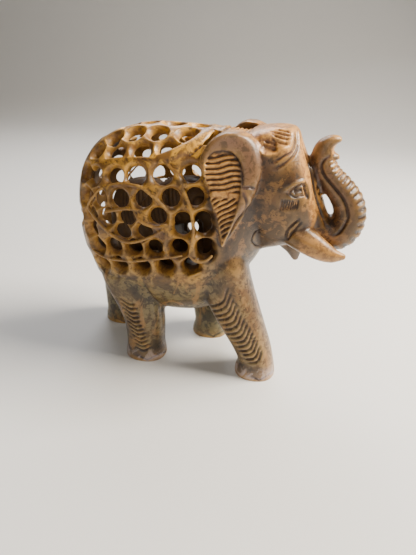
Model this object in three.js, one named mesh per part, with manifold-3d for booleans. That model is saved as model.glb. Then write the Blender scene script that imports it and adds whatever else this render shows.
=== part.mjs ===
// Openwork soapstone elephant, carved from one block, with a calf left standing inside it.
// Millimetres, +Z up, +X towards the head. The soles rest on Z = 0, the box is centred on X = 0.
import * as THREE from 'three';
import { mergeVertices } from 'three/addons/utils/BufferGeometryUtils.js';
import Module from 'manifold-3d';

const wasm = await Module();
wasm.setup();

// ---- driving dimensions ----------------------------------------------------------------
const LENGTH_SHIFT = -20.85; // brings the middle of the length to X = 0
const HOLE_RADIUS = 4.5; // bore of one drilled hole
const HOLE_SIDES = 6; // flat faces round one bore
const HOLE_DEPTH = 16; // length of the bore
const HOLE_PROUD = 3; // how far it stands out of the surface it cuts
const FOOT_Y = 18.4; // sideways distance of each foot from the middle
const SEARCH_STEPS = 24; // halvings when a place on the barrel is looked for
const SEARCH_REACH = 80; // a distance from inside that always ends outside the barrel
const SLOPE_STEP = 0.5; // distance over which the barrel's slope is measured
const SAME_POINT = 1e-4; // corners closer than this are one

// ---- solids from curves ----------------------------------------------------------------

// Turns a closed three.js geometry into a manifold solid.
function solid(geometry) {
  const plain = geometry.clone();
  plain.deleteAttribute('normal');
  plain.deleteAttribute('uv');
  const merged = mergeVertices(plain, SAME_POINT);
  const vertProperties = new Float32Array(merged.attributes.position.array);
  const triVerts = new Uint32Array(merged.index.array);
  return new wasm.Manifold(new wasm.Mesh({ numProp: 3, vertProperties, triVerts }));
}

// A round form that follows stations [x, y, z, half width, half depth]. The width lies as
// near to Y as it can, the depth square to it, or along the direction deepAlong where all
// sections are parallel. power above 2 makes the section fuller.
function limb(stations, { sides = 12, steps = 12, power = 2, deepAlong } = {}) {
  const path = new THREE.CatmullRomCurve3(
    stations.map(([x, y, z]) => new THREE.Vector3(x, y, z)), false, 'catmullrom', 0.5);
  const sizes = new THREE.CatmullRomCurve3(
    stations.map(([, , , wide, deep]) => new THREE.Vector3(wide, deep, 0)), false, 'catmullrom', 0.5);
  const form = new THREE.CylinderGeometry(1, 1, 1, sides, steps);
  const place = form.attributes.position;
  const lateral = new THREE.Vector3(0, 1, 0);
  for (let i = 0; i < place.count; i++) {
    const t = 0.5 - place.getY(i);
    const ahead = path.getTangent(t);
    const wideAxis = deepAlong
      ? lateral
      : lateral.clone().addScaledVector(ahead, -ahead.y).normalize();
    const deepAxis = deepAlong ?? ahead.clone().cross(wideAxis);
    const size = sizes.getPoint(t);
    const u = place.getX(i);
    const v = place.getZ(i);
    const reach = (Math.abs(u) ** power + Math.abs(v) ** power) ** (1 / power);
    const round = Math.hypot(u, v);
    const fuller = reach > 1e-6 ? round / reach : 0;
    const point = path.getPoint(t)
      .addScaledVector(wideAxis, u * fuller * size.x)
      .addScaledVector(deepAxis, v * fuller * size.y);
    place.setXYZ(i, point.x, point.y, point.z);
  }
  return solid(form);
}

// The same solid on the other side of the middle plane.
const mirrored = (stations) => stations.map(([x, y, z, wide, deep]) => [x, -y, z, wide, deep]);

function joined(solids) {
  return solids.reduce((whole, next) => whole.add(next));
}

// ---- the barrel of the body ------------------------------------------------------------

// Rump to chest: x, top, bottom, half width.
const barrelSections = [
  [-60.0, 101, 82, 5],
  [-58.4, 114, 70, 14],
  [-54.0, 124.5, 57, 22.5],
  [-45.5, 133, 45, 29.5],
  [-33.0, 139.4, 36, 33.5],
  [-17.0, 143, 32, 35.5],
  [2.0, 143.2, 31, 36],
  [20.0, 143, 35, 34.6],
  [32.0, 142, 46, 30],
  [41.0, 138, 62, 24],
  [48.0, 130, 74, 17],
  [52.0, 120, 86, 8],
];
const UPRIGHT = new THREE.Vector3(0, 0, 1);
const FORWARD = new THREE.Vector3(1, 0, 0);
const BARREL_POWER = 2.25;

const barrelStations = barrelSections.map(
  ([x, top, bottom, wide]) => [x, 0, (top + bottom) / 2, wide, (top - bottom) / 2]);

function barrel() {
  return limb(barrelStations,
    { sides: 18, steps: 11, power: BARREL_POWER, deepAlong: UPRIGHT });
}

// ---- the hollow and the drilled openwork -----------------------------------------------

// The hollow follows the barrel at the wall's thickness, down to a flat bed for the calf.
const hollowSections = [
  [-55.2, 100, 84, 4],
  [-53.6, 110, 70, 13],
  [-49.0, 120, 62, 20.5],
  [-42.0, 128, 58, 26],
  [-32.0, 134.4, 57, 29],
  [-16.0, 138, 57, 30.8],
  [2.0, 138.4, 57, 31.2],
  [18.0, 137.6, 60, 29.5],
  [26.0, 133, 66, 24],
  [30.5, 122, 78, 14],
];

function hollow() {
  const stations = hollowSections.map(
    ([x, top, bottom, wide]) => [x, 0, (top + bottom) / 2, wide, (top - bottom) / 2]);
  return limb(stations, { sides: 10, steps: 6, power: BARREL_POWER, deepAlong: UPRIGHT });
}

// How deep a point lies in the barrel: 1 on its surface, less inside.
const barrelCentres = new THREE.CatmullRomCurve3(
  barrelStations.map(([x, , z]) => new THREE.Vector3(x, 0, z)), false, 'catmullrom', 0.5);
const barrelSizes = new THREE.CatmullRomCurve3(
  barrelStations.map(([, , , wide, deep]) => new THREE.Vector3(wide, deep, 0)),
  false, 'catmullrom', 0.5);

function barrelLevel({ x, y, z }) {
  let low = 0;
  let high = 1;
  for (let i = 0; i < SEARCH_STEPS; i++) {
    const middle = (low + high) / 2;
    if (barrelCentres.getPoint(middle).x < x) low = middle;
    else high = middle;
  }
  const size = barrelSizes.getPoint(low);
  const up = (z - barrelCentres.getPoint(low).z) / size.y;
  const beyond = Math.max(barrelStations[0][0] - x, 0);
  return Math.abs(y / size.x) ** BARREL_POWER + Math.abs(up) ** BARREL_POWER + beyond;
}

// One bore, square to the surface, where a line from inside comes out of the barrel.
function bore(inside, heading) {
  let low = 0;
  let high = SEARCH_REACH;
  for (let i = 0; i < SEARCH_STEPS; i++) {
    const middle = (low + high) / 2;
    if (barrelLevel(inside.clone().addScaledVector(heading, middle)) < 1) low = middle;
    else high = middle;
  }
  const at = inside.clone().addScaledVector(heading, low);
  const slope = (dx, dy, dz) => barrelLevel({ x: at.x + dx, y: at.y + dy, z: at.z + dz })
    - barrelLevel({ x: at.x - dx, y: at.y - dy, z: at.z - dz });
  const h = SLOPE_STEP;
  const outward = new THREE.Vector3(slope(h, 0, 0), slope(0, h, 0), slope(0, 0, h)).normalize();
  const form = new THREE.CylinderGeometry(HOLE_RADIUS, HOLE_RADIUS, HOLE_DEPTH, HOLE_SIDES, 1);
  form.applyQuaternion(new THREE.Quaternion().setFromUnitVectors(new THREE.Vector3(0, 1, 0), outward));
  const centre = at.addScaledVector(outward, HOLE_PROUD - HOLE_DEPTH / 2);
  form.translate(centre.x, centre.y, centre.z);
  return solid(form);
}

// Rows along each flank: height at x = 0, rising towards the head, and the holes' places.
const flankRows = [
  { height: 135.4, holes: [-45, -31, -16.5, -1] },
  { height: 123.6, holes: [-43, -28.8, -17, -2, 13] },
  { height: 111.6, holes: [-49, -39.5, -26, -12, 3, 16.5] },
  { height: 101.4, holes: [-46, -33, -21.7, -3, 10.4, 21.5] },
  { height: 93, holes: [-38, -25, -11.4] },
  { height: 83.6, holes: [-42.5, -31, -18.5, -6, 8.3, 22.5] },
  { height: 72.4, holes: [-40, -28.5, -14.5, 0, 14.7] },
];
const ROW_RISE = 0.13;

// Rows along the back: distance from the middle and the holes' places.
const backRows = [
  { aside: 0, holes: [-31, -19, -4, 10] },
  { aside: 12.5, holes: [-36, -22.6, -9.2, 7, 18] },
];

// Columns down the rump, beside the tail: distance from the middle and the heights.
const rumpColumns = [
  { aside: 9.5, holes: [112, 99, 86, 73] },
  { aside: 20, holes: [118, 92, 66] },
];

function openwork() {
  const bores = [];
  for (const side of [-1, 1]) {
    for (const { height, holes } of flankRows) {
      for (const x of holes) {
        bores.push(bore(new THREE.Vector3(x, 0, height + ROW_RISE * x), new THREE.Vector3(0, side, 0)));
      }
    }
    for (const { aside, holes } of backRows) {
      if (aside === 0 && side > 0) continue;
      for (const x of holes) {
        bores.push(bore(new THREE.Vector3(x, side * aside, 95), new THREE.Vector3(0, 0, 1)));
      }
    }
    for (const { aside, holes } of rumpColumns) {
      for (const z of holes) {
        bores.push(bore(new THREE.Vector3(-35, side * aside, z), new THREE.Vector3(-1, 0, 0)));
      }
    }
  }
  return joined(bores);
}

// ---- legs, each with a flat sole -------------------------------------------------------

// Hip or shoulder to sole; reach is how far the foot is set forward of it.
const foreLeg = (x, reach) => [
  [x - reach, 0.84 * FOOT_Y, 76, 14, 13],
  [x - 0.9 * reach, 0.9 * FOOT_Y, 60, 14, 15.5],
  [x - 0.66 * reach, 0.95 * FOOT_Y, 45, 13.4, 15.2],
  [x - 0.38 * reach, FOOT_Y, 31, 12.6, 13.6],
  [x - 0.14 * reach, FOOT_Y, 19, 11.8, 12],
  [x, FOOT_Y, 9, 11.4, 11],
  [x, FOOT_Y, 3, 12.3, 12.4],
  [x, FOOT_Y, 0, 12.3, 12.4],
];

const hindLeg = (x, reach) => [
  [x - reach, 0.84 * FOOT_Y, 72, 14, 15],
  [x - 0.75 * reach, 0.9 * FOOT_Y, 54, 14, 17.5],
  [x - 0.28 * reach, 0.96 * FOOT_Y, 38, 13.2, 14.8],
  [x - 0.02 * reach, FOOT_Y, 25, 12.2, 12.8],
  [x, FOOT_Y, 9, 11.4, 12.2],
  [x, FOOT_Y, 3, 12, 13.1],
  [x, FOOT_Y, 0, 12, 13.1],
];

function legs() {
  const shape = { sides: 10, steps: 8, power: 2.3, deepAlong: FORWARD };
  return joined([
    limb(mirrored(foreLeg(53.5, 24)), shape),
    limb(mirrored(hindLeg(-19, 12)), shape),
    limb(foreLeg(16, 3), shape),
    limb(hindLeg(-50, -9), shape),
  ]);
}

// ---- head, trunk, jaw and tusks --------------------------------------------------------

// Horizontal slices of the head: z, back, front, half width.
const headSections = [
  [146.6, 50, 61.5, 8],
  [144.5, 40, 63.8, 14.5],
  [139, 31, 66, 18.5],
  [130, 28, 70.4, 21],
  [119, 28, 75, 22],
  [108, 30, 78.5, 21.5],
  [98, 34, 80, 19.5],
  [90, 36, 78, 16.5],
  [84, 36, 67, 13],
  [79, 34, 52, 11],
  [73, 32, 46, 9],
];

function head() {
  const stations = headSections.map(
    ([z, back, front, wide]) => [(back + front) / 2, 0, z, wide, (front - back) / 2]);
  return limb(stations, { sides: 16, steps: 10, power: 2.4, deepAlong: FORWARD });
}

const trunkStations = [
  [63, 0, 124, 13, 11],
  [68, 0, 112, 12, 11],
  [73, 0, 101, 10.5, 10.4],
  [78.5, 0, 93, 9.6, 10],
  [86, 0, 89.5, 9.2, 9.8],
  [93, 0, 92.5, 9, 9.6],
  [95.8, 0, 100, 8.8, 9.2],
  [94, 0, 108.5, 8.4, 8.6],
  [88.5, 0, 116, 8, 7.8],
  [82, 0, 122.5, 7.4, 7],
  [77.8, 0, 129.5, 6.8, 6.4],
  [77.2, 0, 136, 6.2, 5.6],
  [80.5, 0, 140.6, 5, 3.4],
  [85.5, 0, 142, 2.6, 1.2],
];

function trunk() {
  return limb(trunkStations, { sides: 10, steps: 21, power: 2.2 });
}

// The short lower lip of the trunk's tip.
function trunkLip() {
  return limb([
    [79, 0, 131, 5.5, 3.5],
    [82.5, 0, 132.6, 4, 2.4],
    [85.8, 0, 132.6, 1.6, 0.8],
  ], { sides: 8, steps: 3 });
}

const tuskStations = [
  [60, -9, 94, 6, 6.5],
  [68, -12, 91.5, 6.2, 7],
  [75, -13.6, 89, 6, 7.2],
  [82, -14.4, 85.6, 5.2, 6.2],
  [89, -14.2, 82.9, 3.8, 4.4],
  [96.5, -12.8, 82.2, 1.2, 1.4],
];

function tusks() {
  const shape = { sides: 8, steps: 7 };
  return limb(tuskStations, shape).add(limb(mirrored(tuskStations), shape));
}

function chin() {
  return limb([
    [58, 0, 94, 12, 11],
    [63.5, 0, 86, 9, 7.5],
    [67.8, 0, 79.5, 5.2, 4.6],
    [69.8, 0, 73, 1.2, 1.1],
  ], { sides: 10, steps: 5 });
}

// The tail lies against the rump, with a small tuft at its end.
function tail() {
  return limb([
    [-57, 0, 112, 2.2, 2.2],
    [-60, 0, 100, 2.6, 2.6],
    [-60.3, 0, 85, 2.4, 2.4],
    [-58.6, 0, 70, 2.2, 2.2],
    [-54.6, 0, 58, 2.4, 2.2],
    [-50.5, 0, 49, 3.2, 2.6],
    [-46.5, 0, 42, 1.4, 1.4],
  ], { sides: 6, steps: 7 });
}

// ---- ears ------------------------------------------------------------------------------

const EAR_THICKNESS = 12; // it runs on into the neck behind
const EAR_PANEL_DEPTH = 1.4; // the sunken panel inside the rim
const EAR_SLANT = 0.3; // the rear edge stands further out than the front edge
const LEFT_EAR_AHEAD = 4.5; // the carver set the left ear this much further forward

// How far out the face of the ear lies at height z, at its rear edge and x = 22.
const earReach = (z) => 36.5 - 0.0044 * Math.max(z - 100, 0) ** 2 - 0.002 * Math.max(100 - z, 0) ** 2;

// Outline in level slices from the top to the tip: z, rear, front.
const earOutline = [
  [145.2, 29, 35],
  [143, 25, 41],
  [139, 21.8, 44.6],
  [133, 19.4, 47.2],
  [127, 20.6, 48.2],
  [120, 23, 46.8],
  [114, 24.8, 45],
  [108, 26.5, 41.2],
  [101, 28.4, 37],
  [94, 30, 34.4],
  [88, 31.2, 32],
];

const earPanel = [
  [136.4, 26, 33],
  [132, 22.4, 37.4],
  [124, 22.8, 38.8],
  [116, 25, 39],
  [107, 27.6, 37.6],
  [98, 29.8, 35],
  [92, 31.2, 32.4],
];

function earForm(outline, side, middle, half, options) {
  const ahead = side > 0 ? LEFT_EAR_AHEAD : 0;
  const stations = outline.map(([z, rear, front]) => {
    const x = (rear + front) / 2;
    const y = earReach(z) - EAR_SLANT * (x - 22) - middle;
    return [x + ahead, side * y, z, half, (front - rear) / 2];
  });
  const slanted = new THREE.Vector3(1, -side * EAR_SLANT, 0);
  return limb(stations, { ...options, deepAlong: slanted });
}

function ear(side) {
  const plate = earForm(earOutline, side, EAR_THICKNESS / 2, EAR_THICKNESS / 2,
    { sides: 10, steps: 9, power: 4 });
  const panel = earForm(earPanel, side, 0, EAR_PANEL_DEPTH, { sides: 8, steps: 5, power: 4 });
  return plate.subtract(panel);
}

// ---- the calf inside -------------------------------------------------------------------

function calf() {
  const rounded = { sides: 8, steps: 5 };
  const body = limb([[-44, 0, 88, 5, 8], [-39, 0, 88, 12, 17], [-27, 0, 89, 15.5, 22.5],
    [-13, 0, 90, 15.5, 22], [-3, 0, 92, 11, 15]], rounded);
  const head = limb([[-8, 0, 98, 11, 12], [1, 0, 101, 12.5, 13.5], [10, 0, 101, 10.5, 12],
    [15.5, 0, 97, 5, 8]], rounded);
  const nose = limb([[10, 0, 99, 6, 6.5], [16.5, 0, 92, 5, 5.5], [19.5, 0, 80, 4, 4.4],
    [19, 0, 66, 3.4, 3.6], [17, 0, 55, 3, 3.2]], { sides: 6, steps: 4 });
  const ears = [-1, 1].map((side) => limb([[-10, side * 12, 110, 1.5, 3], [-12, side * 15, 101, 3, 8],
    [-10, side * 15.5, 90, 3, 7], [-6, side * 14, 82, 1.5, 2]],
  { sides: 6, steps: 3, deepAlong: FORWARD }));
  const legs = [-32, -6].flatMap((x) => [-8, 8].map((y) => limb(
    [[x, y, 76, 6, 7], [x, y, 52, 5.4, 6.4]], { sides: 6, steps: 1, deepAlong: FORWARD })));
  return joined([body, head, nose, ...ears, ...legs]);
}

// ---- the whole carving -----------------------------------------------------------------

function carving() {
  const body = joined([
    barrel(), legs(), head(), trunk(), trunkLip(), tusks(), chin(), tail(), ear(1), ear(-1),
  ]);
  return body.subtract(hollow()).subtract(openwork()).add(calf());
}

function nodeMesh(name, form, material) {
  const { numProp, vertProperties, triVerts } = form.getMesh();
  const geometry = new THREE.BufferGeometry();
  const points = new Float32Array((vertProperties.length / numProp) * 3);
  for (let i = 0; i < points.length / 3; i++) {
    points.set(vertProperties.subarray(i * numProp, i * numProp + 3), i * 3);
  }
  geometry.setAttribute('position', new THREE.BufferAttribute(points, 3));
  geometry.setIndex(new THREE.BufferAttribute(new Uint32Array(triVerts), 1));
  geometry.translate(LENGTH_SHIFT, 0, 0);
  geometry.computeVertexNormals();
  const mesh = new THREE.Mesh(geometry, material);
  mesh.name = name;
  return mesh;
}

const soapstone = new THREE.MeshStandardMaterial({ color: 0x9a7a4c, roughness: 0.3, metalness: 0 });
const part = new THREE.Group();
part.add(nodeMesh('elephant', carving(), soapstone));

export default part;
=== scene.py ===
import math
import random

import bmesh
import bpy
import numpy as np
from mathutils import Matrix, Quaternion, Vector
from mathutils.bvhtree import BVHTree


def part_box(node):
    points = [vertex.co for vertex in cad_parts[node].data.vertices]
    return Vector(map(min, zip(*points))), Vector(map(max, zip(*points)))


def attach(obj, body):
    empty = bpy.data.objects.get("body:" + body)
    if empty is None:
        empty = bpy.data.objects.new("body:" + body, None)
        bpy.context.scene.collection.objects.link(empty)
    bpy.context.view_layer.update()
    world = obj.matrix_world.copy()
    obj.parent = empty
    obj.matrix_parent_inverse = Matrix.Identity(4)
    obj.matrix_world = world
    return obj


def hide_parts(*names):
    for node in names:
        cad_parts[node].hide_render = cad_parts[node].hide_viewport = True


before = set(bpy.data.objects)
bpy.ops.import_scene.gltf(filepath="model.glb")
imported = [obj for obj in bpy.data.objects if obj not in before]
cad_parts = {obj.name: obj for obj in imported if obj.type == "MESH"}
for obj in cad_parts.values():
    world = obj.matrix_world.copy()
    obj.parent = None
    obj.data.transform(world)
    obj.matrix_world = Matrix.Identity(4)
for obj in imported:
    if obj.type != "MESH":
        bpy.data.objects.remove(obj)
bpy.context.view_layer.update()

# ---- The block, roughed out --------------------------------------------------------------
# One block of soapstone is sawn and filed to the animal's big forms before any drilling.
# They are worked in millimetres, with X = 0 midway between the four feet.

FOOT_Y = 18.4             # sideways distance of each foot from the middle
upright = (0, 0, 1)
forward = (1, 0, 0)


def along_curve(rows, t):
    """The point at t, from 0 to 1, on a smooth curve through the rows, and its slope."""
    rows = np.array(rows, float)
    rows = np.vstack([2 * rows[0] - rows[1], rows, 2 * rows[-1] - rows[-2]])
    reach = t * (len(rows) - 3)
    i = min(int(reach), len(rows) - 4)
    u = reach - i
    a, b, c, d = rows[i:i + 4]
    bend = 2 * a - 5 * b + 4 * c - d
    twist = 3 * (b - c) + d - a
    point = b + 0.5 * u * (c - a + u * (bend + u * twist))
    slope = 0.5 * (c - a + u * (2 * bend + u * 3 * twist))
    return point, slope


def rod(sides, steps):
    """A capped rod of length 1 and radius 1, ringed all along so that it can be bent."""
    bm = bmesh.new()
    bmesh.ops.create_cone(bm, cap_ends=True, segments=sides, radius1=1, radius2=1, depth=1)
    rails = [e for e in bm.edges if abs(e.verts[0].co.z - e.verts[1].co.z) > 0.5]
    bmesh.ops.subdivide_edges(bm, edges=rails, cuts=steps - 1)
    return bm


def facing_out(bm):
    """The bent rod with its faces turned outwards."""
    if bm.calc_volume(signed=True) < 0:
        bmesh.ops.reverse_faces(bm, faces=bm.faces)
    return bm


def round_form(stations, sides=32, steps=28, power=2.0, deep=None):
    """A round solid along stations (x, y, z, half width, half depth), as a bmesh.

    Its section is squarer where power is over 2. Where deep is given, the depth lies that way.
    """
    bm = rod(sides, steps)
    lateral = Vector((0, 1, 0))
    for v in bm.verts:
        at, slope = along_curve(stations, 0.5 - v.co.z)
        ahead = Vector(slope[:3]).normalized()
        wide = lateral if deep else (lateral - ahead * ahead.y).normalized()
        across = Vector(deep) if deep else ahead.cross(wide)
        p, q = v.co.x, v.co.y
        fuller = math.hypot(p, q) / max((abs(p) ** power + abs(q) ** power) ** (1 / power), 1e-9)
        v.co = Vector(at[:3]) + wide * (p * fuller * at[3]) + across * (q * fuller * at[4])
    return facing_out(bm)


def other_side(stations):
    return [(x, -y, z, wide, deep) for x, y, z, wide, deep in stations]


def lengthwise(rows):
    """Stations in the middle plane, from rows (x, top, bottom, half width)."""
    return [(x, 0, (top + low) / 2, wide, (top - low) / 2) for x, top, low, wide in rows]


def as_object(name, forms):
    """One object from several bmeshes, which may overlap."""
    whole = bmesh.new()
    for form in forms:
        part = bpy.data.meshes.new("part")
        form.to_mesh(part)
        form.free()
        whole.from_mesh(part)
        bpy.data.meshes.remove(part)
    mesh = bpy.data.meshes.new(name)
    whole.to_mesh(mesh)
    whole.free()
    piece = bpy.data.objects.new(name, mesh)
    bpy.context.scene.collection.objects.link(piece)
    return piece


def settle(piece):
    """Makes the modifiers' result the piece's own mesh."""
    worked = piece.evaluated_get(bpy.context.evaluated_depsgraph_get())
    shaped = bpy.data.meshes.new_from_object(worked)
    piece.modifiers.clear()
    piece.data = shaped


def fuse(piece, voxel, smoothing):
    """Grows the overlapping forms into one skin and rubs it smooth."""
    remesh = piece.modifiers.new("fuse", "REMESH")
    remesh.mode = "VOXEL"
    remesh.voxel_size = voxel
    rub = piece.modifiers.new("rub", "SMOOTH")
    rub.factor = 0.5
    rub.iterations = smoothing
    settle(piece)


BARREL = [                # x, top, bottom, half width, from rump to chest
    (-61.0, 101, 82, 5), (-59.6, 114.6, 70, 14), (-55.0, 125.5, 57, 22.5), (-46.2, 134.4, 45, 29.5),
    (-33.4, 141, 36, 33.5), (-17.0, 144.6, 32, 35.2), (2.0, 144.8, 31, 35.7), (20.0, 144.4, 35, 34.6),
    (32.0, 143.8, 46, 30), (41.0, 142.4, 62, 24), (48.0, 139, 74, 17), (52.0, 128, 86, 8),
]
BARREL_POWER = 2.25
HEAD = [                  # z, back, front, half width, from crown to throat
    (146.6, 50, 61.5, 8), (144.5, 40, 63.8, 14.5), (139, 31, 66, 18.5), (130, 28, 70.4, 21),
    (119, 28, 75, 22), (108, 30, 78.5, 21.5), (98, 34, 80, 19.5), (90, 36, 78, 16.5),
    (84, 36, 67, 13), (79, 34, 52, 11), (73, 32, 46, 9),
]
TRUNK = [                 # from the face, down and out, and up to the lip
    (63, 0, 124, 13, 11), (68, 0, 112, 12, 11), (73, 0, 101, 10.5, 10.4), (78.5, 0, 93, 9.6, 10),
    (86, 0, 89.5, 9.2, 9.8), (93, 0, 92.5, 9, 9.6), (95.8, 0, 100, 8.8, 9.2), (94, 0, 108.5, 8.4, 8.6),
    (88.5, 0, 116, 8, 7.8), (82, 0, 122.5, 7.4, 7), (77.8, 0, 129.5, 6.8, 6.4), (77.2, 0, 136, 6.2, 5.6),
    (80.5, 0, 140.6, 5, 3.4), (85.5, 0, 142, 2.6, 1.2),
]


def fore_leg(x, reach):
    """Stations of a fore leg with its foot at x, its shoulder that much further back."""
    return [
        (x - 1.15 * reach, 0.5 * FOOT_Y, 94, 8, 8), (x - reach, 0.84 * FOOT_Y, 76, 14, 13),
        (x - 0.9 * reach, 0.9 * FOOT_Y, 60, 14, 15.5), (x - 0.66 * reach, 0.95 * FOOT_Y, 45, 13.4, 15.2),
        (x - 0.38 * reach, FOOT_Y, 31, 12.6, 13.6), (x - 0.14 * reach, FOOT_Y, 19, 11.8, 12),
        (x, FOOT_Y, 9, 11.4, 11), (x, FOOT_Y, 3, 12.3, 12.4), (x, FOOT_Y, -3, 12.5, 12.6),
    ]


def hind_leg(x, reach):
    """Stations of a hind leg with its foot at x, its haunch that much further back."""
    return [
        (x - reach, 0.84 * FOOT_Y, 72, 14, 15), (x - 0.75 * reach, 0.9 * FOOT_Y, 54, 14, 17.5),
        (x - 0.28 * reach, 0.96 * FOOT_Y, 38, 13.2, 14.8), (x - 0.02 * reach, FOOT_Y, 25, 12.2, 12.8),
        (x, FOOT_Y, 9, 11.4, 12.2), (x, FOOT_Y, 3, 12, 13.1), (x, FOOT_Y, -3, 12.2, 13.3),
    ]


head_stations = [((back + front) / 2, 0, z, wide, (front - back) / 2) for z, back, front, wide in HEAD]
leg_shape = dict(power=2.3, deep=forward)
carving = as_object("elephant_carving", [
    round_form(lengthwise(BARREL), sides=64, steps=60, power=BARREL_POWER, deep=upright),
    round_form(other_side(fore_leg(53.5, 24)), **leg_shape),
    round_form(other_side(hind_leg(-19, 12)), **leg_shape),
    round_form(fore_leg(16, 3), **leg_shape),
    round_form(hind_leg(-50, -9), **leg_shape),
    round_form(head_stations, sides=40, steps=36, power=2.4, deep=forward),
    round_form(TRUNK, sides=32, steps=70, power=2.2),
])
fuse(carving, voxel=0.8, smoothing=14)


# ---- Ears, tusks, jaw and tail ----------------------------------------------------------
# These are finer forms left standing on the block. Each ear is a thick leaf with a sunken
# panel inside its rim, narrowing to a tip low on the shoulder.

EAR_THICKNESS = 12        # it runs on into the neck behind
EAR_OUT = 36.5            # how far its face stands from the middle, where it is widest
EAR_LEVEL = 100           # the height where it is widest
EAR_SLANT = 0.3           # the rear edge stands further out than the front edge
EAR_REAR = 22             # x of the rear edge
PANEL_DEPTH = 1.5
LEFT_EAR_AHEAD = 4.5      # the carver set the left ear this much further forward

EAR = [                   # z, rear edge, front edge
    (145.2, 28.4, 35), (143, 24, 41), (139, 20.2, 44.6), (133, 17.6, 47.2), (127, 18.8, 48.2),
    (120, 21.4, 46.8), (114, 23.6, 45), (108, 25.9, 41.2), (101, 28.2, 37), (94, 30, 34.4), (88, 31.2, 32),
]
EAR_PANEL = [
    (136.6, 24.8, 33), (132, 20.6, 37.4), (124, 20.9, 38.8), (116, 23.4, 39), (107, 26.9, 37.6),
    (98, 29.6, 35), (92, 31.2, 32.4),
]
TUSK = [
    (60, -9, 94, 6, 6.5), (68, -12, 91.5, 6.2, 7), (75, -13.6, 89, 6, 7.2), (82, -14.4, 85.6, 5.2, 6.2),
    (89, -14.2, 82.9, 3.8, 4.4), (96.5, -12.8, 82.2, 1.2, 1.4),
]
CHIN = [(58, 0, 94, 12, 11), (63.5, 0, 86, 9, 7.5), (67.6, 0, 79.4, 6.4, 5.2), (69.9, 0, 71.2, 1.5, 1.5)]
TRUNK_LIP = [(79, 0, 131, 5.5, 3.5), (82.5, 0, 132.6, 4, 2.4), (85.8, 0, 132.6, 1.6, 0.8)]
TAIL = [
    (-57, 0, 112, 2.2, 2.2), (-60, 0, 100, 2.6, 2.6), (-60.3, 0, 85, 2.4, 2.4), (-58.6, 0, 70, 2.2, 2.2),
    (-54.6, 0, 58, 2.4, 2.2), (-50.5, 0, 49, 3.2, 2.6), (-46.5, 0, 42, 1.4, 1.4),
]


def ear_reach(z):
    """How far out the ear's face lies at height z, at its rear edge."""
    return EAR_OUT - 0.0044 * max(z - EAR_LEVEL, 0) ** 2 - 0.002 * max(EAR_LEVEL - z, 0) ** 2


def ear_form(outline, side, middle, half, sides, steps):
    """A flat form with the ear's outline, centred that far in from the ear's face."""
    ahead = LEFT_EAR_AHEAD if side > 0 else 0
    stations = []
    for z, rear, front in outline:
        x = (rear + front) / 2
        y = side * (ear_reach(z) - EAR_SLANT * (x - EAR_REAR) - middle)
        stations.append((x + ahead, y, z, half, (front - rear) / 2))
    return round_form(stations, sides, steps, power=4, deep=(1, -side * EAR_SLANT, 0))


def cut(piece, tool):
    """Takes the tool's shape out of the piece."""
    away = piece.modifiers.new("cut", "BOOLEAN")
    away.operation = "DIFFERENCE"
    away.solver = "MANIFOLD"
    away.object = tool
    settle(piece)
    bpy.data.meshes.remove(tool.data)


def mesh_copy(piece):
    copy = bmesh.new()
    copy.from_mesh(piece.data)
    return copy


def add(piece, forms):
    """Sets further overlapping forms on the piece, to be fused later."""
    extra = as_object("extra", forms + [mesh_copy(piece)])
    piece.data = extra.data
    bpy.data.objects.remove(extra)


for side in (-1, 1):
    ear = as_object("ear", [ear_form(EAR, side, EAR_THICKNESS / 2, EAR_THICKNESS / 2, 48, 60)])
    cut(ear, as_object("panel", [ear_form(EAR_PANEL, side, 0, PANEL_DEPTH, 40, 44)]))
    add(carving, [mesh_copy(ear)])
    bpy.data.meshes.remove(ear.data)
add(carving, [
    round_form(TUSK, sides=28, steps=30), round_form(other_side(TUSK), sides=28, steps=30),
    round_form(CHIN, sides=28, steps=20), round_form(TRUNK_LIP, sides=24, steps=12),
    round_form(TAIL, sides=16, steps=40),
])
fuse(carving, voxel=0.6, smoothing=5)


# ---- The hollow and the drilled openwork -------------------------------------------------
# The barrel is hollowed out and drilled all over. Every bore is dished at its mouth, and the
# dishes meet in thin crests, so that the stone left between the holes reads as small stars.

HOLLOW = [                # x, top, bottom, half width
    (-55.6, 100, 84, 4), (-54.0, 110, 70, 13), (-49.4, 120.4, 62, 20.5), (-42.2, 128.8, 58, 26),
    (-32.0, 135.4, 57, 29), (-16.0, 139, 57, 30.8), (2.0, 139.4, 57, 31.2), (18.0, 138.4, 60, 29.5),
    (26.0, 133, 66, 24), (30.5, 122, 78, 14),
]
ROW_RISE = 0.13           # the rows along the flanks rise a little towards the head
FLANK_ROWS = {            # height of the row at x = 0, and where its holes are
    135.6: (-44, -31, -16, -1.4), 123.8: (-43.4, -29.4, -17, -2.2, 13),
    112: (-49, -39.2, -26, -12.3, 3, 16.1), 102: (-46, -34, -21.8, -3.4), 99.2: (10, 21.3),
    95.4: (10, 21.5), 93.2: (-46, -25, -11.8), 83.8: (-42.5, -31.4, -18.6, -6, 8.2, 22.8),
    80.8: (23.2,), 72.2: (-41, -29, -14.7, 0, 15),
}
BACK_ROWS = {             # distance from the middle, and where its holes are
    0: (-31, -19, -4, 10), 13.6: (-35, -23.2, -9.6, 6.8, 18),
}
RUMP_COLUMNS = {          # distance from the middle, and the heights of its holes
    9.5: (112, 99, 86, 73), 20: (118, 92, 66),
}
BORE_PROFILE = [          # depth below the surface, radius
    (-3, 10.2), (0, 7.8), (0.8, 6.9), (1.7, 6.1), (2.7, 5.3), (3.9, 4.7), (5.8, 4.35), (12.5, 4.0),
]
BORE_CLEARANCE = 21       # bores this far apart don't touch
FIELD_DEPTH = 0.4         # the drilled field is filed back this much, and its stems are not
FIELD_BEVEL = 0.8         # width of the slope at the field's edge
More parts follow.
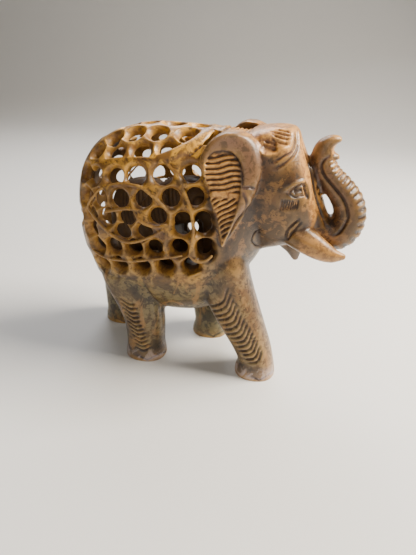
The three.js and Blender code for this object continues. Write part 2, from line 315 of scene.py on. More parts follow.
FIELD_RIM = [(-62, 62), (-50, 57), (-37, 57.5), (-22.5, 59.5), (-6, 63), (12, 67), (24, 73)]
FIELD_FRONT = 23          # x of its front edge on the back, between the ears
FIELD_SHOULDER = 26       # and on the shoulder, below the ear
TAIL_STRIP = 4.5          # the middle of the rump keeps a strip this wide to each side


def tree_of(piece):
    """The piece's skin, for finding the nearest place on it."""
    bm = mesh_copy(piece)
    tree = BVHTree.FromBMesh(bm)
    bm.free()
    return tree


def barrel_point(inside, heading):
    """Where a line from inside the barrel comes out of the block, and the way out there."""
    at, way, _, _ = shell.ray_cast(Vector(inside) + 80 * Vector(heading), -Vector(heading))
    return at, way


def bore(at, out):
    """A drill's cut, dished at the mouth and never quite straight."""
    rings = len(BORE_PROFILE) - 1
    bm = rod(22, rings)
    worn = chance.uniform(0.93, 1.06)
    tilt = Vector((chance.gauss(0, 0.05), chance.gauss(0, 0.05), chance.gauss(0, 0.05)))
    turn = (out + tilt).to_track_quat("Z", "Y")
    for v in bm.verts:
        depth, radius = BORE_PROFILE[round((0.5 - v.co.z) * rings)]
        v.co = at + turn @ Vector((v.co.x * radius * worn, v.co.y * radius * worn, -depth))
    return facing_out(bm)


def surface(piece):
    """Every point of the piece's skin, and the way out of the stone there."""
    count = len(piece.data.vertices)
    at, out = np.empty(3 * count), np.empty(3 * count)
    piece.data.vertices.foreach_get("co", at)
    piece.data.vertex_normals.foreach_get("vector", out)
    return at.reshape(-1, 3), out.reshape(-1, 3)


def sink(piece, depth):
    """Lowers the piece's skin by a depth given for every point."""
    at, out = surface(piece)
    piece.data.vertices.foreach_set("co", (at - out * depth[:, None]).ravel())
    piece.data.update()


def outline_at(outline, z):
    """The rear and the front edge of an ear's outline at the heights z."""
    levels, rear, front = (np.array(column) for column in zip(*reversed(outline)))
    return np.interp(z, levels, rear), np.interp(z, levels, front)


def file_back_field(piece):
    """Lowers the part of the barrel that gets the openwork, up to a clean edge."""
    at, _ = surface(piece)
    x, aside, z = at[:, 0], np.abs(at[:, 1]), at[:, 2]
    ear_rear, _ = outline_at(EAR, z)
    ear_rear = np.where(z < EAR[-1][0], FIELD_SHOULDER, ear_rear)
    front = np.where(aside < 15, FIELD_FRONT, ear_rear - 0.6)
    rim = np.interp(x, *zip(*FIELD_RIM))
    tail = np.where(x < -46, aside - TAIL_STRIP, 9)
    edge = np.minimum(np.minimum(front - x, z - rim), tail)
    sink(piece, FIELD_DEPTH * np.clip(edge / FIELD_BEVEL, 0, 1))


chance = random.Random(7)
shell = tree_of(carving)
mouths = []
for side in (-1, 1):
    for height, places in FLANK_ROWS.items():
        mouths += [((x, 0, height + ROW_RISE * x), (0, side, 0)) for x in places]
    for aside, places in BACK_ROWS.items():
        if aside or side < 0:
            mouths += [((x, side * aside, 95), (0, 0, 1)) for x in places]
    for aside, heights in RUMP_COLUMNS.items():
        mouths += [((-35, side * aside, z), (-1, 0, 0)) for z in heights]
mouths = [barrel_point(*mouth) for mouth in mouths]
file_back_field(carving)

rounds = []               # bores that stand clear of each other are cut in one go
for at, out in mouths:
    for taken in rounds:
        if all((at - other).length > BORE_CLEARANCE for other, _ in taken):
            taken.append((at, out))
            break
    else:
        rounds.append([(at, out)])
for taken in rounds:
    cut(carving, as_object("bores", [bore(at, out) for at, out in taken]))
cut(carving, as_object("hollow", [
    round_form(lengthwise(HOLLOW), sides=48, steps=40, power=BARREL_POWER, deep=upright)]))


# ---- Vines and leaf over the openwork ----------------------------------------------------
# Thin stems of the same stone wind between the holes and stand proud of the crests. A broad
# leaf sweeps up behind the ear, and a last stem edges the openwork along the belly.

STEMS = [                 # each a run of places (x, aside, z) on a flank
    [(-50.5, -14, 122), (-45, -19.4, 124.6), (-36.7, -23.1, 125.9), (-28.1, -24.4, 127.8),
     (-19.3, -25.1, 129), (-11.6, -25.2, 129.6), (-2.7, -25.5, 129.8)],
    [(-2.7, -25.5, 129.6), (2.9, -28, 125.6), (7.9, -30.6, 120), (12.3, -32.9, 112), (14.9, -34.2, 105),
     (16.2, -34.9, 97), (15.8, -35.2, 91), (14.3, -35.2, 82)],
    [(-39.8, -28.6, 110), (-34.5, -29.4, 113.4), (-25.2, -30.4, 116.3), (-13.5, -31.7, 116),
     (-7.7, -32.9, 113), (-1.9, -33.9, 109), (2, -34.6, 105.7), (4.8, -34.7, 105), (9.4, -33.9, 108.4)],
    [(-35.5, -32.2, 100), (-21.7, -33.9, 104), (-12.9, -34.6, 104)],
    [(-17, -34.5, 103), (-12.9, -35.3, 98), (-4.4, -35.7, 96), (1.7, -35.6, 98)],
    [(-39.8, -28.6, 110), (-46.5, -27.9, 101.6), (-43.5, -30.1, 97), (-36.1, -32.7, 91),
     (-28.6, -34.3, 86.5), (-19.4, -35.3, 85), (-7.4, -35.9, 90), (-0.5, -35.8, 95), (1.7, -35.6, 98)],
    [(-47.3, -27.1, 73.5), (-37.2, -31.4, 71.6), (-20.5, -34.4, 73), (-8, -35.5, 76), (10.4, -35.5, 81)],
    [(1.7, -35.6, 98), (1.1, -36, 90), (-0.2, -36, 82.5)],
    [(13.7, -35.3, 81.7), (18, -34.5, 78.4), (22.8, -33.4, 78.5), (26.8, -32.1, 82)],
]
RIM_STEM = [
    (-50, -22, 57), (-37.3, -27, 57.5), (-22.5, -31.3, 59.5), (-6, -33.7, 63), (12, -33.9, 67), (24, -33, 73),
]
LEAF = [
    (-6, -25.3, 129.6), (0.5, -24, 131.5), (6.1, -22, 134), (10.6, -19.4, 136.6), (14.6, -14.6, 140.4),
    (17.7, -4, 144.4),
]
STEM_TIP = 0.55           # a stem's ends are this much of its full thickness


def laid_on(places, side, radius, sunk, steps, flat=1.0):
    """A stem laid along the block's surface, its middle sunk below it."""
    line = []
    for i in range(steps + 1):
        at, _ = along_curve(places, i / steps)
        spot, out, _, _ = shell.find_nearest(Vector((at[0], -side * at[1], at[2])))
        line.append((spot - sunk * out, out))
    bm = rod(10, steps)
    for v in bm.verts:
        i = round((0.5 - v.co.z) * steps)
        at, out = line[i]
        ahead = line[min(i + 1, steps)][0] - line[max(i - 1, 0)][0]
        across = ahead.cross(out).normalized()
        taper = radius * (STEM_TIP + (1 - STEM_TIP) * math.sin(math.pi * i / steps) ** 0.5)
        v.co = at + across * (v.co.x * taper * flat) + out * (v.co.y * taper)
    return facing_out(bm)


for side in (1, -1):
    add(carving, [laid_on(stem, side, radius=1.05, sunk=0.95, steps=40) for stem in STEMS])
    add(carving, [laid_on(RIM_STEM, side, radius=1.0, sunk=1.0, steps=40),
                  laid_on(LEAF, side, radius=1.8, sunk=1.2, steps=30, flat=2.2)])
fuse(carving, voxel=0.46, smoothing=2)


# ---- Carved lines ------------------------------------------------------------------------
# Lines are cut with small gouges: the ribs of the ears, the folds of the legs, the eyes,
# the mouth, the headdress and the trunk. What is carved on one side is carved on the other.

HEAD_LINES = [            # width, depth (negative stands proud), places (x, aside, z)
    # the eye: upper lid, front corner, lower lid, socket, ball
    (0.8, 1.0, [(62.4, 20.5, 117), (64.9, 19.3, 118.8), (67.1, 17.6, 120.2), (69.4, 15.5, 120.9)]),
    (0.7, 0.8, [(69.4, 15.5, 120.9), (70.3, 15.4, 118), (71.3, 15.4, 115.2), (72.1, 14.8, 113.9)]),
    (0.6, 0.7, [(62.6, 20.5, 116.7), (65.9, 19.4, 114.8), (68.3, 18, 115.2), (70.6, 15.9, 115.6)]),
    (1.5, 1.3, [(65, 19.3, 117.3), (67, 18.4, 117.6), (69.2, 16.4, 118)]),
    (0.55, -0.65, [(66.3, 18.9, 116.5), (67.8, 17.9, 117), (68.9, 17, 117.4)]),
    # the ridges over and before the eye
    (1.0, -0.55, [(59.5, 21, 118), (62.5, 20.3, 120.2), (66, 18.3, 122), (69.9, 14.5, 122.9)]),
    (0.9, -0.45, [(70.6, 13.8, 122), (72.2, 13.3, 117.5), (73.4, 13.8, 113)]),
    # the mouth and the jaw
    (0.6, 1.0, [(69.3, 18, 102.7), (67, 18.7, 100.2), (64.7, 18.5, 97.1), (63.7, 17.6, 93.7),
                (63.7, 16.7, 90)]),
    (0.6, 0.9, [(70.6, 17.4, 100.7), (67.9, 17.6, 96.5), (65.6, 17.6, 92.8), (64.6, 17.1, 90.1)]),
    (0.5, 0.8, [(51, 17.8, 94.2), (48.3, 17.5, 93.9), (46.2, 18.4, 91.3), (45.7, 18.4, 88.2),
                (47.3, 15, 84), (50.2, 11.4, 81.3)]),
    (0.75, 1.0, [(48.4, 18, 92.4), (48.9, 18, 92)]),
    # the headdress: two straps, the roll below them, and its leaves from the ear to the crown
    (0.75, 1.1, [(53.2, 20.3, 131.5), (57.6, 18.5, 134.5), (61.5, 15.1, 136.8), (62.5, 12.3, 139.5),
                 (62.2, 10.1, 143), (60.6, 6.6, 145.9)]),
    (0.75, 1.0, [(54, 20.8, 128.8), (58.5, 19.3, 131.2), (62.3, 15.7, 134.5), (63.9, 11.5, 138),
                 (63.8, 8.1, 141.8), (62.5, 4.4, 145)]),
    (1.0, -0.7, [(43.4, 17.4, 141), (46.6, 19.6, 136.3), (49.3, 19.9, 134.7), (52.2, 19.5, 135.3),
                 (55.3, 18.3, 137.2), (58.9, 16.2, 138.5)]),
    (2.1, 2.0, [(46.6, 17.6, 140.2), (49, 18.4, 139), (52, 18.6, 138.2), (54.6, 17.9, 138.5)]),
    (1.3, 1.7, [(47.4, 17, 141.9), (50.6, 17.2, 141), (53.6, 17.5, 140.2)]),
    (0.4, -0.8, [(47, 17.2, 141.1), (50, 17.9, 140.1), (54.4, 17.8, 139.4)]),
    (0.9, 1.5, [(50.6, 16.2, 142.9), (54, 16.6, 141.8), (57, 16, 140.6), (59.4, 15, 140.6)]),
    (0.8, 1.4, [(51, 14.3, 144.3), (54.5, 15, 143.4), (57.4, 14.6, 142.6), (59.6, 13.4, 142.4)]),
    (0.8, 1.3, [(50.6, 12.4, 145.3), (54, 13, 144.9), (57, 13, 144.2), (59.6, 12, 143.8)]),
    (0.7, 1.1, [(52.6, 10, 146), (55.6, 10.6, 145.8), (59, 10.8, 144.9)]),
    # the trunk: the edge of its front strip, and the line along its side
    (0.8, 0.75, [(64.8, 4.6, 142.5), (68, 5.6, 134), (71, 7.4, 127), (73.6, 8.6, 120.5),
                 (76, 8.9, 113.5), (80, 7.6, 105), (83, 7.4, 98.6), (86.6, 8.6, 93.5)]),
    (0.75, 1.1, [(80.4, 5.5, 133.6), (78.2, 6.4, 132.3), (76.9, 6.6, 128.9), (78.8, 6.9, 124.4),
                 (83, 7.4, 120.2), (87.2, 7.8, 116.4), (90.8, 8.1, 112.5), (93.1, 8.3, 107.9),
                 (94.4, 8.5, 103.6), (93.1, 8.6, 98.4), (91.2, 8.7, 94.2), (88.3, 8.9, 92.1)]),
]
EAR_LINES = [             # the same, for lines that move with the ear
    (0.9, 0.9, [(22.6, 31, 131), (22.8, 30.2, 134), (26, 29.5, 136.2), (30.1, 28.4, 136.4),
                (34.4, 27.8, 134.4), (37.1, 27.8, 131), (38.9, 28.3, 126.4), (39.7, 29.3, 119.8)]),
    (0.6, -0.5, [(23.2, 30.5, 115.4), (27, 33.3, 115.9), (30.7, 32.7, 115.4), (29, 33.4, 111),
                 (25.8, 31, 106.5)]),
    (0.6, 0.7, [(40.2, 29.3, 120.1), (43.5, 27.8, 120.2), (46.2, 25.7, 119)]),
    (0.6, 0.8, [(40.4, 29.5, 117.4), (42.3, 28.2, 112), (40, 25.8, 105.5), (36.8, 27.8, 99.5),
                (33.2, 30.9, 92)]),
    (0.8, -0.5, [(41.8, 28.6, 116.6), (43.6, 26.8, 113), (41.4, 24.5, 106.6), (38, 26.4, 99.8),
                 (34, 30, 91.6)]),
]
HIGHEST_RIDGE = 1.2
DEEPEST_CUT = 1.9
FULL_DARK_CUT = 1.2           # cuts this deep are darkened as much as any


def snapped(places, side, steps=24):
    """Points of a smooth line through the places (x, aside, z), laid on the carving."""
    line = []
    for i in range(steps + 1):
        at, _ = along_curve(places, i / steps)
        spot, _, _, _ = skin.find_nearest(Vector((at[0], side * at[1], at[2])))
        line.append(spot)
    return np.array(line)


def gouge(places, side, width, depth, ends=0.35):
    """Cuts a line of that width into the carving, or raises a ridge where depth is negative."""
    line = snapped(places, side)
    reach = 2.4 * width
    close = (points > line.min(0) - reach) & (points < line.max(0) + reach)
    near = np.nonzero(np.all(close, axis=1))[0]
    local = points[near]
    gap, along = np.full(len(local), 99.0), np.zeros(len(local))
    for i, (a, b) in enumerate(zip(line[:-1], line[1:])):
        run = b - a
        t = np.clip(((local - a) @ run) / max(run @ run, 1e-9), 0, 1)
        far = np.linalg.norm(local - a - t[:, None] * run, axis=1)
        closer = far < gap
        gap[closer], along[closer] = far[closer], (i + t[closer]) / (len(line) - 1)
    faded = np.clip(np.minimum(along, 1 - along) / 0.12, 0, 1) * (1 - ends) + ends
    cuts[near] += depth * faded * np.exp(-(gap / width) ** 2)


def inside_outline(outline, x, z):
    """How far the points lie inside an ear's outline, from its rear or its front edge."""
    rear, front = outline_at(outline, z)
    return np.minimum(x - rear, front - x)


def ribbed(outline, side, low, high, pitch, slope, depth):
    """Ribs across a panel of the ear, from the height low to the height high."""
    z = points[:, 2]
    x = points[:, 0] - (LEFT_EAR_AHEAD if side > 0 else 0)
    inside = inside_outline(outline, x, z)
    inside = np.minimum(inside, np.minimum(z - low, high - z))
    faces_out = (normals[:, 1] * side > 0.45) & (np.abs(points[:, 1]) > 22)
    run = z - slope * (x - 30) + 0.35 * np.sin(0.5 * x + 0.2 * z)
    rib = 0.5 + 0.5 * np.cos(2 * np.pi * run / pitch)
    cuts[:] += depth * rib ** 1.5 * np.clip(inside / 0.9, 0, 1) * faces_out


def between(a, b, share):
    return tuple(p + (q - p) * share for p, q in zip(a, b))


def folds(side, count, start, sag, end, width, depth):
    """Crescent folds down a leg; start, sag and end say where the first and last one run."""
    for i in range(count):
        share = i / (count - 1)
        wander = chance.uniform(-0.25, 0.25)
        run = [between(*ends_of, share) for ends_of in (start, sag, end)]
        gouge([(x, y, z + wander) for x, y, z in run], side, width, depth, ends=0.2)


def toes(x, y):
    """Scalloped nails round the front of a foot."""
    dx, dy, z = points[:, 0] - x, points[:, 1] - y, points[:, 2]
    turn = np.arctan2(dy, dx)
    edge = 1.3 + 2.4 * np.abs(np.sin(2.6 * turn))
    nail = np.exp(-((z - edge) / 0.55) ** 2) * np.clip((1.9 - np.abs(turn)) / 0.4, 0, 1)
    cuts[:] += 0.55 * nail * (np.hypot(dx, dy) < 17) * (z < 6)


def trunk_rings(pitch, depth):
    """Short ridges across the outer side of the trunk, from its root to its lip."""
    route = np.array([along_curve(TRUNK, i / 300)[0][:3] for i in range(301)])
    length = np.concatenate([[0], np.cumsum(np.linalg.norm(np.diff(route, axis=0), axis=1))])
    near = np.nonzero((points[:, 0] > 76) & (np.abs(points[:, 1]) < 9.6) & (points[:, 2] < 134))[0]
    local = points[near]
    gaps = (local[:, None, 0] - route[None, ::2, 0]) ** 2 + (local[:, None, 2] - route[None, ::2, 2]) ** 2
    at = 2 * gaps.argmin(axis=1)
    ahead = np.gradient(route, axis=0)[at]
    outward = np.stack([ahead[:, 2], -ahead[:, 0]], axis=1)
    outward /= np.linalg.norm(outward, axis=1)[:, None]
    facing = (normals[near][:, [0, 2]] * outward).sum(axis=1)
    ring = 0.5 + 0.5 * np.cos(2 * np.pi * length[at] / pitch)
    begins = np.clip((length[at] - 33) / 4, 0, 1) * np.clip((length[-1] - 14 - length[at]) / 4, 0, 1)
    cuts[near] += depth * ring * np.clip((facing - 0.35) / 0.3, 0, 1) * begins


def engrave(piece, depth, full_dark):
    """Sinks the cut lines into the piece, and marks how deep each is, to darken it."""
    sink(piece, depth)
    held = piece.data.attributes.new("cut", "FLOAT", "POINT")
    held.data.foreach_set("value", np.clip(depth, 0, full_dark))


skin = tree_of(carving)
points, normals = surface(carving)
cuts = np.zeros(len(points))

for side in (-1, 1):
    ahead = LEFT_EAR_AHEAD if side > 0 else 0
    for width, depth, places in HEAD_LINES:
        gouge(places, side, width, depth)
    for width, depth, places in EAR_LINES:
        gouge([(x + ahead, y, z) for x, y, z in places], side, width, depth)
    for i in range(8):    # lashes under the eye
        x = 59.2 + 1.3 * i
        gouge([(x + 0.4, 20.6, 113.4), (x, 21, 108 + 0.12 * i)], side, width=0.42, depth=0.8)
    ribbed(EAR_PANEL, side, low=116.6, high=136, pitch=2.7, slope=0.17, depth=1.25)
    ribbed(EAR_PANEL, side, low=90, high=115, pitch=2.9, slope=0.66, depth=1.25)
for i in range(6):        # ridges over the neck, between the ears
    x = 26 + 2.3 * i
    gouge([(x - 2, -13, 141), (x, -5, 142.6), (x + 1, 5, 142.6), (x - 1, 13, 141)], 1, width=0.75, depth=0.9)
folds(-1, 14, ((24.8, 26.3, 46.5), (50, 29.6, 12.3)), ((32.9, 30.7, 53.2), (55.8, 29.3, 14.6)),
      ((35.3, 30.1, 62.1), (57.6, 27.4, 22.1)), width=0.75, depth=0.95)
folds(-1, 12, ((-31.2, 30.1, 45.4), (-21.9, 29.6, 9.4)), ((-25, 30.6, 42.3), (-17, 29.8, 7.8)),
      ((-20.5, 30.6, 43), (-12, 28.2, 10.4)), width=0.75, depth=0.95)
folds(1, 11, ((6, 26, 42), (10, 28, 11)), ((15, 30, 39), (17, 30, 8.6)),
      ((21, 30, 45), (24, 28, 13)), width=0.75, depth=0.8)
folds(1, 11, ((-60, 26, 42), (-57, 27, 11)), ((-53, 30, 38), (-51, 30, 8.4)),
      ((-46, 30, 43), (-43, 28, 12)), width=0.75, depth=0.8)
for side in (-1, 1):
    for i in range(4):    # veins of the leaf behind the ear
        x = 11.5 + 1.7 * i
        vein = [(x, 23 - 1.6 * i, 132.4 + 1.1 * i), (x + 2.2, 20.4 - 1.8 * i, 136 + 0.9 * i)]
        gouge(vein, side, width=0.5, depth=0.7)
# the crease where each hind leg's haunch meets the belly
gouge([(-14.6, 31.4, 59), (-11.7, 28, 49.2), (-8.1, 23.3, 41.1)], -1, width=1.1, depth=0.9)
gouge([(-46, 31.4, 57), (-41, 28, 48), (-38, 23.3, 40)], 1, width=1.1, depth=0.9)
for x, side in ((53.5, -1), (-19, -1), (16, 1), (-50, 1)):
    toes(x, side * FOOT_Y)
trunk_rings(pitch=3.1, depth=0.65)
engrave(carving, np.clip(cuts, -HIGHEST_RIDGE, DEEPEST_CUT), FULL_DARK_CUT)


# ---- Soles -------------------------------------------------------------------------------
# The four feet are ground flat, so that the carving stands without rocking, and loose crumbs
# of stone are swept out of the openwork. The skin is left coarser where the form is plain.

LENGTH_SHIFT = -20.85     # moves the carving so that its length is centred on X = 0
SOLE_CUT = 0.02           # the feet are cut this far above the floor, and set down on it


def grind(piece):
    """Cuts the piece off level and closes the soles, at z = 0."""
    bm = mesh_copy(piece)
    bmesh.ops.bisect_plane(bm, geom=bm.verts[:] + bm.edges[:] + bm.faces[:], plane_co=(0, 0, SOLE_CUT),
                           plane_no=upright, clear_inner=True)
    bmesh.ops.holes_fill(bm, edges=[e for e in bm.edges if e.is_boundary], sides=0)
    for v in bm.verts:
        if v.co.z < 1.5 * SOLE_CUT:
            v.co.z -= SOLE_CUT
    bmesh.ops.triangulate(bm, faces=bm.faces[:])
    bm.to_mesh(piece.data)
    bm.free()


def thin(piece, triangles):
    """Takes triangles away where the form is plain."""
    now = sum(len(face.vertices) - 2 for face in piece.data.polygons)
    fewer = piece.modifiers.new("thin", "DECIMATE")
    fewer.ratio = min(1.0, triangles / now)
    settle(piece)


def sweep_chips(piece):
    """Takes away crumbs that no longer hang on the carving."""
    bm = mesh_copy(piece)
    left = set(bm.verts)
    parts = []
    while left:
        part = [left.pop()]
        for v in part:
            for edge in v.link_edges:
                other = edge.other_vert(v)
                if other in left:
                    left.remove(other)
                    part.append(other)
        parts.append(part)
    parts.sort(key=len)
    for part in parts[:-1]:
        bmesh.ops.delete(bm, geom=part, context="VERTS")
    bm.to_mesh(piece.data)
    bm.free()


def finished(piece, node, material):
    """Puts the piece, worked in millimetres, in its place in the frame."""
    bm = mesh_copy(piece)
    low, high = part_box(node)
    for v in bm.verts:
        at = Vector((v.co.x + LENGTH_SHIFT, v.co.y, v.co.z)) * 0.001
        v.co = [min(max(at[i], low[i]), high[i]) for i in range(3)]
    bm.to_mesh(piece.data)
    bm.free()
    piece.data.shade_smooth()
    piece.data.materials.clear()
    piece.data.materials.append(material)
    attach(piece, "root")
    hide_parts(node)


grind(carving)
thin(carving, triangles=192000)
sweep_chips(carving)


# ---- The calf inside ---------------------------------------------------------------------
# A smaller elephant, cut through the holes from the core of the same block, stands on the
# floor of the hollow and is one with it. Its sides are pleated, and each eye has a ring.

CALF_BODY = [
    (-44, 0, 88, 5, 8), (-39, 0, 88, 12, 17), (-27, 0, 89, 15.5, 22.5), (-13, 0, 90, 15.5, 22),
    (-3, 0, 92, 11, 15),
]
CALF_HEAD = [(-8, 0, 98, 12, 13), (1, 0, 100.8, 14, 14), (11, 0, 102, 13, 13), (18, 0, 100, 8, 9)]
CALF_TRUNK = [
    (12.5, 0, 101, 9, 8.5), (19.5, 0, 92, 9, 7.5), (20.5, 0, 80, 8.5, 7), (19.5, 0, 67, 6.5, 6),
    (18, 0, 55, 5.5, 5),
]
CALF_EAR = [(-10, 12, 110, 1.5, 3), (-12, 15, 101, 3, 8), (-10, 15.5, 90, 3, 7), (-6, 14, 82, 1.5, 2)]
CALF_FEET = [(-32, -8), (-32, 8), (-6, -8), (-6, 8)]
CALF_EYE_X = 13.4
CALF_EYE_Z = 104.5
CALF_EYE_RING = 3
PLEAT_PITCH = 2.6
PLEAT_LEAN = 0.22


def calf_leg(x, y):
    return round_form([(x, y, 76, 6, 7), (x, y, 54, 5.4, 6.4)], sides=24, steps=12, deep=forward)


def carve_calf(piece):
    """Cuts the pleats of the calf's sides and the ring and ball of each eye."""
    at, _ = surface(piece)
    x, aside, z = at[:, 0], np.abs(at[:, 1]), at[:, 2]
    pleats = np.clip(0.5 + np.cos(2 * np.pi * (x + PLEAT_LEAN * z) / PLEAT_PITCH), 0, 1.5)
    pleats = pleats * (aside > 9) * (x > -34) * (x < 3)
    from_eye = np.hypot(x - CALF_EYE_X, z - CALF_EYE_Z)
    eye = np.exp(-((from_eye - CALF_EYE_RING) / 0.6) ** 2) - 0.8 * np.exp(-(from_eye / 1.5) ** 2)
    dent = 0.45 * pleats * np.clip((z - 84) / 3, 0, 1) + 0.9 * eye * (aside > 4)
    engrave(piece, dent, 1)


calf = as_object("elephant_calf", [
    round_form(CALF_BODY), round_form(CALF_HEAD), round_form(CALF_TRUNK),
    round_form(CALF_EAR, sides=20, steps=20, deep=forward),
    round_form(other_side(CALF_EAR), sides=20, steps=20, deep=forward),
    *[calf_leg(x, y) for x, y in CALF_FEET],
])
fuse(calf, voxel=0.6, smoothing=3)
carve_calf(calf)
thin(calf, triangles=60000)


# ---- Finish ------------------------------------------------------------------------------
# Polished soapstone, mottled brown, ochre and grey-green. The worker's wax has kept the
# openwork golden, the legs and belly are greener, and the cut lines and hollows are darker.
# Painted shade darkens the trunk's inner bend, the deep bores, the eye sockets and the chin;
# painted light lifts the near fore leg's front, and a painted sheen the near feet.

STONE = {                 # the stone's colours, dark to light within each kind
    "brown_dark": (0.034, 0.016, 0.007, 1), "brown": (0.09, 0.041, 0.014, 1),
    "ochre": (0.2, 0.094, 0.026, 1), "brown_speck": (0.016, 0.008, 0.004, 1),
    "green_dark": (0.035, 0.024, 0.011, 1), "green": (0.15, 0.115, 0.046, 1),
    "green_speck": (0.014, 0.009, 0.005, 1), "rust_vein": (0.27, 0.14, 0.042, 1),
    "gold_dark": (0.16, 0.066, 0.012, 1), "gold": (0.7, 0.35, 0.04, 1),
    "gold_speck": (0.045, 0.018, 0.006, 1),
    "bore_dark": (0.2, 0.085, 0.016, 1), "bore": (0.42, 0.21, 0.035, 1),
    # the amber here also paints light on the near fore leg, the violet also paints shade in the trunk's bend,
    # and the pale lilac of the feet is a painted sheen
    "amber_and_light": (0.7, 0.33, 0.08, 1), "amber_speck": (0.28, 0.11, 0.03, 1),
    "violet_and_shade": (0.125, 0.062, 0.04, 1), "violet_speck": (0.035, 0.017, 0.012, 1),
    "far_green": (0.2, 0.2, 0.11, 1), "painted_foot_sheen": (0.4, 0.33, 0.34, 1),
    "rubbed_crest": (0.66, 0.37, 0.1, 1), "darker_hollow": (0.045, 0.02, 0.008, 1),
    "unlit_depth": (0.045, 0.024, 0.011, 1), "cut_dark": (0.035, 0.015, 0.005, 1),
}
WALL_SEARCH = 12          # stone deeper than this below the block's surface is all alike


def band(value, low, high):
    """A soft step from 0 at low to 1 at high."""
    t = np.clip((value - low) / (high - low), 0, 1)
    return t * t * (3 - 2 * t)


def bulge_of(mesh, at, out):
    """How far each point stands out from its neighbours, or lies in where it is negative."""
    count = len(mesh.vertices)
    edges = np.empty(2 * len(mesh.edges), int)
    mesh.edges.foreach_get("vertices", edges)
    edges = edges.reshape(-1, 2)
    bulge = np.zeros(count)
    ways = at[edges[:, 1]] - at[edges[:, 0]]
    lengths = np.linalg.norm(ways, axis=1) + 1e-9
    met = np.bincount(edges.ravel(), minlength=count)
    for end, sign in ((0, -1), (1, 1)):
        lean = sign * (ways * out[edges[:, end]]).sum(axis=1) / lengths
        bulge += np.bincount(edges[:, end], lean, minlength=count)
    bulge /= np.maximum(met, 1)
    for _ in range(2):
        spread = bulge.copy()
        for a, b in ((0, 1), (1, 0)):
            spread += np.bincount(edges[:, a], bulge[edges[:, b]], minlength=count)
        bulge = spread / (met + 1)
    return bulge


def mark_colours(piece):
    """Marks at every point how much of each colour, wear and depth the stone has there, and where shade,
    light and sheen are painted.
    """
    at, out = surface(piece)
    x, aside, z = at[:, 0], np.abs(at[:, 1]), at[:, 2]
    ear_x = x - LEFT_EAR_AHEAD * (at[:, 1] > 0)
    near = np.clip(-at[:, 1] / 20, 0, 1)

    field = band(z, 55, 68) * (1 - band(x, 20, 29)) * np.where(aside > 14, 1 - band(x, 18, 26), 1)
    upper = field * band(z, 108, 134)
    legs = (1 - band(z, 62, 88)) * (1 - band(x, 58, 66) * band(z, 55, 70))
    ear_edge = inside_outline(EAR, ear_x, z)
    panel_edge = np.minimum(inside_outline(EAR_PANEL, ear_x, z), EAR_PANEL[0][0] - z)
    on_ear = band(ear_edge, -1, 1) * band(aside, 17, 22) * band(z, 92, 108)
    rim = on_ear * (1 - band(panel_edge, -1, 0.5))
    brow = band(out[:, 0], 0.66, 0.82) * band(x, 60, 66) * (1 - band(x, 84, 92)) * band(z, 92, 104)
    # painted shade: the inner face of the trunk's bend, turned away from the lamps, gets dark violet
    trunk_inner_shade = band(x, 71, 77) * band(z, 98, 116) * (1 - band(out[:, 0] + 0.4 * out[:, 2], 0.2, 0.6))
    # painted light: the front of the near fore leg, facing the key lamp, is lightened towards amber
    shin_light = band(out[:, 0], 0, 0.7) * legs * band(x, 18, 26) * near
    # the lowest band of the feet, where a painted sheen goes on the near side
    soles = 1 - band(z, 3, 11)
    crown = band(out[:, 2], 0.35, 0.85) * band(x, 24, 30) * band(z, 126, 138)
    tusks = band(x, 68, 73) * band(aside, 8.2, 9.6) * (1 - band(z, 92, 97))
    # the chin and the eye socket mark places for painted shade
    chin = (1 - band(z, 80, 86)) * band(x, 58, 62) * (1 - band(aside, 7, 9)) * (1 - band(x, 72, 75))
    socket = np.exp(-((x - 67.3) / 3.4) ** 2 - ((z - 117.4) / 2) ** 2) * (aside > 12)
    leaves = band(z, 134, 138) * band(x, 44, 48) * (1 - band(x, 60, 63)) * band(aside, 4, 9)
    bulge = bulge_of(piece.data, at, out)

    sunk = np.zeros(len(at))
    for i in np.nonzero(field > 0.01)[0]:
        sunk[i] = shell.find_nearest(Vector(at[i]), WALL_SEARCH)[3] or WALL_SEARCH
    masks = {
        "golden": np.clip(0.45 * field + 0.55 * upper, 0, 1),
        "green": np.clip(legs, 0, 1),
        # the ear rim's own violet, and painted shade on the trunk's inner bend
        "violet_and_shade": np.clip(rim + 0.8 * trunk_inner_shade, 0, 1),
        # amber is the stone's own colour, and on the near fore leg's front it is painted light
        "amber_and_light": np.clip(brow + 0.7 * on_ear * band(panel_edge, 0, 1) + leaves
                         + 0.8 * crown + 0.55 * tusks + 0.22 * shin_light, 0, 1),
        "petal": leaves,
        "bore": band(sunk, 1.2, 3.5) * field,
        # painted shade: deep in the bores, under the chin and in the eye socket
        "deep": np.clip(band(sunk, 4.2, 6.5) * field + 0.75 * chin + 0.85 * socket, 0, 1),
        # painted sheen on the near feet
        "foot_sheen": soles * near * (out[:, 2] > -0.9),
        "crest": np.clip(bulge * 5, 0, 1),
        # darker where the skin lies in, between the crests
        "hollow": np.clip(-bulge * 6, 0, 1),
        "far": band(at[:, 1], 4, 14) * (1 - band(z, 48, 70)),
    }
    for name, values in masks.items():
        piece.data.attributes.new(name, "FLOAT", "POINT").data.foreach_set("value", values)


